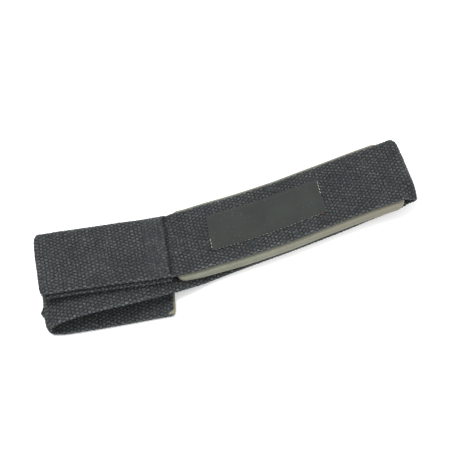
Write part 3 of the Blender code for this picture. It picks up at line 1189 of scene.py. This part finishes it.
def make_wrist_pad():
    """The foam pad, which tapers to its left end and follows the top run."""
    size, held, route = sizes(), rest(), Route()
    turns = [math.radians(angle) for angle in range(0, 90, PAD_CORNER_DEGREES)]
    corner = size.pad_corner * (1 - np.cos(turns))
    steps = round((size.pad_length - 2 * size.pad_corner) / PAD_PITCH)
    middle = np.linspace(size.pad_corner, size.pad_length - size.pad_corner, steps + 1)
    places = np.concatenate((corner, middle, size.pad_length - corner[::-1]))
    across, height, _ = section(1.0, 1.0, size.pad_edge / (size.pad_width / 2), PAD_ROUND, *PAD_STEPS)
    under = size.webbing_thickness / 2 + size.clearance
    rows = []
    for place in places:
        distance = min(place, size.pad_length - place)
        width = pad_half_width(distance)
        reach = min(distance / size.pad_edge, 1.0)
        full = math.sqrt(max(0.0, 1 - (1 - reach) ** 2))
        lean = held.loop_end_lean + (held.pad_end_lean - held.loop_end_lean) * place / size.pad_length
        row = []
        for side, up in zip(across, height):
            offset = side * width
            x = size.loop_length + size.pad_gap + place + lean * offset
            thickness = min(spacer(x) - size.clearance, size.pad_thickness)
            slope = tilt(x) / size.webbing_width
            z = top_height(x) - slope * offset - under - thickness / 2 + up * full * thickness / 2
            row.append((x, top_aside(x) + offset, z))
        rows.append(row + row[:1])
    ring = np.append(across, across[0]) * size.pad_width / 2
    picture = np.stack(np.meshgrid(places, ring, indexing="ij"), axis=-1)
    pad = closed_shell("foam_wrist_pad", np.array(rows) + route.shift, picture, pad_material())
    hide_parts("wrist_pad")
    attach(pad, "root")


def label_band(route):
    """Middle face of the label, which lies on the top run."""
    size = sizes()
    lanes = lanes_over(size.label_width)
    lift = size.webbing_thickness / 2 + size.label_lift + size.label_thickness / 2
    steps = round(size.label_length / ROUTE_PITCH)
    lines = []
    for step in range(steps + 1):
        line = []
        for across in lanes:
            x = size.label_start + size.label_length * step / steps + rest().label_lean * across
            line += run_line(x, [across], top_aside(x), top_height(x) + lift)
        lines.append(line)
    return Band(np.array(lines) + route.shift, size.label_width)


def label_press(distance):
    """How far the label sinks at a distance from its edge."""
    return sizes().label_press * np.exp(-(distance / sizes().label_hem) ** 2)


def make_label():
    """The bare label, whose edges the sewing draws down."""
    size, route = sizes(), Route()
    band = label_band(route)
    half = size.label_thickness / 2
    across, height, _ = section(size.label_width / 2, half, half, ROUND, *LABEL_STEPS)
    places = np.linspace(0, band.length, LABEL_ROWS + 1)
    places = np.concatenate(([0.0, 0.0], places[1:-1], [band.length] * 2))
    full = np.ones_like(places)
    full[[0, -1]] = 0.0
    full[[1, -2]] = LABEL_END_FULLNESS
    along, spread = np.meshgrid(places, across, indexing="ij")
    edge = np.minimum(np.minimum(along, band.length - along), size.label_width / 2 - np.abs(spread))
    lift = full[:, None] * height[None, :] - label_press(edge)
    points = band.point(along, spread) + band.normal(along, spread) * lift[..., None]
    points = np.concatenate((points, points[:, :1]), axis=1)
    ring = np.append(across, across[0])
    picture = np.meshgrid(places / LABEL_YARN[0], ring / LABEL_YARN[1], indexing="ij")
    label = closed_shell("woven_label", points, np.stack(picture, axis=-1), label_material())
    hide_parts("label")
    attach(label, "root")


def stitch_master(stitch, radius):
    """One stitch along X: a short twisted thread whose ends dip into the cloth."""
    shape = bmesh.new()
    layer = shape.loops.layers.uv.new("cloth")
    bmesh.ops.create_uvsphere(shape, u_segments=STITCH_SIDES, v_segments=STITCH_SIDES, radius=1.0)
    upright = Matrix.Rotation(math.pi / 2, 3, "Y")
    bmesh.ops.rotate(shape, verts=shape.verts, cent=(0, 0, 0), matrix=upright)
    for face in shape.faces:
        for corner in face.loops:
            spot = corner.vert.co
            corner[layer].uv = (spot.x, math.atan2(spot.y, spot.z) / math.pi)
    for vertex in shape.verts:
        x, y, z = vertex.co
        thinner, dip = 1 - STITCH_THINNING * x * x, STITCH_DIP * radius * x ** 4
        vertex.co = (x * stitch / 2, y * radius, z * radius * thinner - dip)
    mesh = bpy.data.meshes.new("stitch")
    shape.to_mesh(mesh)
    shape.free()
    return mesh


def seam_places(route, rng):
    """Places of the loop's stitches, in rows across the webbing."""
    size, cloth = sizes(), weave()
    crown = size.webbing_thickness / 2 - cloth.thread_radius
    stitches = round((size.webbing_width - SEAM_INSET) / cloth.stitch_length)
    places = []
    for row in seam_rows(route):
        for number in range(stitches):
            across = (number + 0.5 - stitches / 2) * cloth.stitch_length
            along = row + rest().loop_end_lean * across + rng.normal() * STITCH_DRIFT
            turn = math.pi / 2 + rng.normal() * STITCH_TURN
            places.append((0, route.band.seat(along, across, 1, crown, turn)))
    return places


def label_places(band, rng):
    """Places of the label's stitches: dark ones, pale ones at its edge, and a red thread end."""
    size, cloth = sizes(), weave()
    hem, edge = cloth.hem_inset, cloth.edge_inset
    hem_lift = size.label_thickness / 2 - STITCH_SINK - label_press(hem)
    edge_lift = size.label_thickness / 2 - STITCH_SINK - label_press(edge)
    reach, width = band.length - 2 * hem, size.label_width - 2 * hem
    long_count, short_count = round(reach / cloth.label_pitch), round(width / cloth.label_pitch)
    dark, pale = [], []
    for side in (-1, 1):
        for number in range(long_count):
            along = hem + (number + 0.5) * reach / long_count
            across = side * (size.label_width / 2 - hem)
            dark.append((0, band.seat(along, across, 1, hem_lift, rng.normal() * LABEL_STITCH_TURN)))
            if side < 0:
                across = edge - size.label_width / 2
                matrix = band.seat(along, across, 1, edge_lift, rng.normal() * EDGE_STITCH_TURN)
                thin, short = rng.uniform(*PALE_THICKNESS), rng.uniform(*PALE_LENGTH)
                pale.append((0, matrix @ Matrix.Diagonal((short, thin, thin, 1))))
        for number in range(short_count):
            across = (number + 0.5) * width / short_count - width / 2
            along = edge if side < 0 else band.length - edge
            matrix = band.seat(along, across, 1, edge_lift, math.pi / 2 + rng.normal() * LABEL_STITCH_TURN)
            lower_left = side < 0 and across < PALE_LEFT * size.label_width
            upper_right = side > 0 and across > PALE_RIGHT * size.label_width
            (pale if lower_left or upper_right else dark).append((0, matrix))
    end = band.seat(band.length - RED_END_INSET, -size.label_width / 2, 1, edge_lift, RED_END_TURN)
    return dark, pale, [(0, end @ Matrix.Diagonal(RED_END_SHAPE))]


def make_stitches():
    """The loop's rows of sewing and the label's stitches."""
    cloth, route = weave(), Route()
    rng = np.random.default_rng(cloth.seed + 20)
    master = stitch_master(cloth.stitch_length * STITCH_FILL, cloth.thread_radius)
    places = seam_places(route, rng)
    thread = thread_material("charcoal_thread", colours().thread)
    seam = copies("loop_seam_stitches", [master], places, thread)
    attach(seam, "root")

    small = stitch_master(cloth.label_stitch, cloth.label_thread)
    dark, pale, red = label_places(label_band(route), rng)
    for name, found, material in (
            ("red_thread_end", red, thread_material("red_thread", colours().red_thread)),
            ("label_stitches", dark, thread_material("label_thread", colours().thread)),
            ("pale_label_stitches", pale, thread_material("cream_thread", colours().pale_thread))):
        rows = copies(name, [small], found, material)
        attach(rows, "root")


def fibre_master(bend, lift):
    """One loose fibre of unit length along X, bent aside and upwards."""
    shape = bmesh.new()
    bmesh.ops.create_cone(shape, cap_ends=True, segments=3, radius1=1.0, radius2=0.6, depth=1.0)
    sides = [edge for edge in shape.edges if abs(edge.verts[0].co.z - edge.verts[1].co.z) > 0.5]
    bmesh.ops.subdivide_edges(shape, edges=sides, cuts=4, use_grid_fill=True)
    radius = weave().fibre_radius
    for vertex in shape.verts:
        x, y, run = vertex.co
        vertex.co = (run, y * radius + bend * (run * run - 0.1), x * radius + lift * (0.25 - run * run))
    mesh = bpy.data.meshes.new("fibre")
    shape.to_mesh(mesh)
    shape.free()
    return mesh


def make_fibres():
    """Loose fibres on the faces and selvages that show."""
    size, cloth, route = sizes(), weave(), Route()
    rng = np.random.default_rng(cloth.seed + 40)
    masters = [fibre_master(bend, lift) for bend in FIBRE_BENDS for lift in FIBRE_LIFTS]
    places = []
    for run, side, share in FIBRE_RUNS:
        start, end = route.span(run)
        for _ in range(round(cloth.fibre_count * share)):
            along = rng.uniform(start, end)
            across = rng.uniform(-0.5, 0.5) * size.webbing_width
            reach = rng.uniform(*FIBRE_LENGTHS)
            lift = size.webbing_thickness / 2 - FIBRE_SINK
            if rng.random() < SELVAGE_FIBRES:
                across, lift = math.copysign(size.webbing_width / 2, across), rng.uniform(-0.3, 0.3) * lift
            matrix = route.band.seat(along, across, side, lift, rng.uniform(0, math.tau))
            matrix.translation.x += fold_push(route, np.array(along), np.array(across)).item()
            matrix.translation.z += pinch_drop(route, np.array(matrix.translation), np.array(across)).item()
            kind = int(rng.integers(len(masters)))
            if matrix.translation.z > FIBRE_HEIGHT * reach:
                places.append((kind, matrix @ Matrix.Diagonal((reach, reach, reach, 1))))
    fibres = copies("loose_fibres", masters, places, fibre_material())
    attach(fibres, "root")


def camera_place():
    """Point that the camera looks at, and the direction from it to the camera."""
    stage = bpy.context.scene.strap_stage
    level = math.cos(stage.elevation)
    back = Vector((
        math.sin(stage.azimuth) * level, -math.cos(stage.azimuth) * level, math.sin(stage.elevation)))
    return Vector(stage.target), back


def add_light(name, power, size, place, target):
    light = bpy.data.lights.new(name, "AREA")
    light.shape = "DISK"
    light.size = size
    light.energy = power
    lamp = bpy.data.objects.new(name, light)
    lamp.location = place
    lamp.rotation_euler = (target - Vector(place)).to_track_quat("-Z", "Y").to_euler()
    bpy.context.scene.collection.objects.link(lamp)


def make_stage():
    """The table, the camera, the even light of the studio and its two lamps."""
    scene = bpy.context.scene
    stage = scene.strap_stage
    shape = bmesh.new()
    bmesh.ops.create_grid(shape, x_segments=1, y_segments=1, size=stage.floor_size / 2)
    mesh = bpy.data.meshes.new("table")
    shape.to_mesh(mesh)
    shape.free()
    mesh.materials.append(floor_material())
    floor = bpy.data.objects.new("table", mesh)
    scene.collection.objects.link(floor)

    target, back = camera_place()
    camera = bpy.data.objects.new("camera", bpy.data.cameras.new("camera"))
    camera.data.lens = stage.lens
    camera.data.sensor_width = stage.sensor_width
    camera.data.clip_start = stage.near_limit
    camera.location = target + back * stage.distance
    camera.rotation_euler = back.to_track_quat("Z", "Y").to_euler()
    scene.collection.objects.link(camera)
    scene.camera = camera

    world = bpy.data.worlds.new("studio")
    world.use_nodes = True
    world.node_tree.nodes["Background"].inputs["Color"].default_value = (1, 1, 1, 1)
    world.node_tree.nodes["Background"].inputs["Strength"].default_value = stage.sky
    scene.world = world
    scene.view_settings.view_transform = "Standard"
    add_light("key_light", stage.key_power, stage.light_size, stage.key_place, target)
    add_light("fill_light", stage.fill_power, stage.light_size, stage.fill_place, target)


class STRAP_OT_webbing(bpy.types.Operator):
    """Add the woven webbing"""
    bl_idname = "strap.add_webbing"
    bl_label = "Webbing"

    def execute(self, context):
        make_webbing()
        return {"FINISHED"}


class STRAP_OT_wrist_pad(bpy.types.Operator):
    """Add the foam wrist pad"""
    bl_idname = "strap.add_wrist_pad"
    bl_label = "Wrist pad"

    def execute(self, context):
        make_wrist_pad()
        return {"FINISHED"}


class STRAP_OT_label(bpy.types.Operator):
    """Add the bare woven label"""
    bl_idname = "strap.add_label"
    bl_label = "Label"

    def execute(self, context):
        make_label()
        return {"FINISHED"}


class STRAP_OT_stitches(bpy.types.Operator):
    """Add the sewing of the loop and of the label"""
    bl_idname = "strap.add_stitches"
    bl_label = "Stitches"

    def execute(self, context):
        make_stitches()
        return {"FINISHED"}


class STRAP_OT_fibres(bpy.types.Operator):
    """Add loose fibres on the webbing"""
    bl_idname = "strap.add_fibres"
    bl_label = "Loose fibres"

    def execute(self, context):
        make_fibres()
        return {"FINISHED"}


class STRAP_OT_stage(bpy.types.Operator):
    """Add the table, the lights and the camera"""
    bl_idname = "strap.add_stage"
    bl_label = "Stage"

    def execute(self, context):
        make_stage()
        return {"FINISHED"}


OPERATORS = (STRAP_OT_webbing, STRAP_OT_wrist_pad, STRAP_OT_label, STRAP_OT_stitches, STRAP_OT_fibres,
             STRAP_OT_stage)
GROUPS = {
    "strap_sizes": StrapSizes,
    "strap_rest": StrapRest,
    "strap_weave": StrapWeave,
    "strap_colours": StrapColours,
    "strap_stage": StrapStage,
}


class STRAP_PT_sidebar(bpy.types.Panel):
    """Sizes, colours and the pieces to add"""
    bl_idname = "STRAP_PT_sidebar"
    bl_label = "Weightlifting strap"
    bl_space_type = "VIEW_3D"
    bl_region_type = "UI"
    bl_category = "Strap"

    def draw(self, context):
        for name, group in GROUPS.items():
            box = self.layout.box()
            box.label(text=name.replace("strap_", "").capitalize())
            for setting in group.__annotations__:
                box.prop(getattr(context.scene, name), setting)
        for operator in OPERATORS:
            self.layout.operator(operator.bl_idname)


def register():
    for group in GROUPS.values():
        bpy.utils.register_class(group)
    for name, group in GROUPS.items():
        setattr(bpy.types.Scene, name, PointerProperty(type=group))
    for operator in OPERATORS:
        bpy.utils.register_class(operator)
    bpy.utils.register_class(STRAP_PT_sidebar)


def unregister():
    bpy.utils.unregister_class(STRAP_PT_sidebar)
    for operator in reversed(OPERATORS):
        bpy.utils.unregister_class(operator)
    for name in GROUPS:
        delattr(bpy.types.Scene, name)
    for group in reversed(GROUPS.values()):
        bpy.utils.unregister_class(group)


def main():
    register()
    bpy.ops.strap.add_webbing()
    bpy.ops.strap.add_wrist_pad()
    bpy.ops.strap.add_label()
    bpy.ops.strap.add_stitches()
    bpy.ops.strap.add_fibres()
    bpy.ops.strap.add_stage()


if __name__ == "__main__":
    main()
